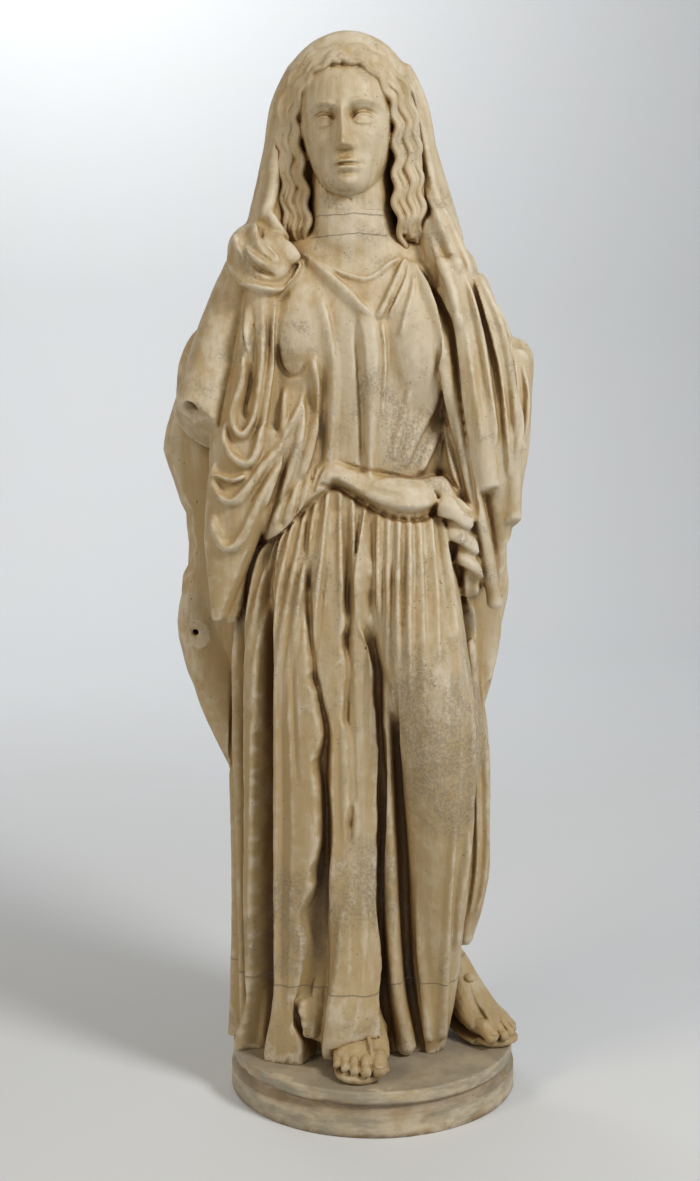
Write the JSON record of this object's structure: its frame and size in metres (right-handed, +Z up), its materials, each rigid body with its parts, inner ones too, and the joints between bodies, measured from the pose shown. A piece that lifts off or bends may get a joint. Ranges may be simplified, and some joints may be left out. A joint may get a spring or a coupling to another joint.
{
  "type": "classical marble statue",
  "caption": "Life-size veiled and draped standing figure in marble, with broken mantle edges and a lost forearm, on a round moulded plinth.",
  "frame": {"origin": "centre of the plinth's flat underside, on the floor", "axes": "+Z up, the figure faces -Y, the viewer's right is +X"},
  "size_m": [0.6275, 0.468, 1.7492],
  "materials": {
    "marble_figure": "aged matt marble, ochre in the recesses",
    "marble_plinth": "aged matt marble, greyer"
  },
  "bodies": {
    "root": {"figure": "marble_figure", "plinth": "marble_plinth"}
  },
  "joints": []
}
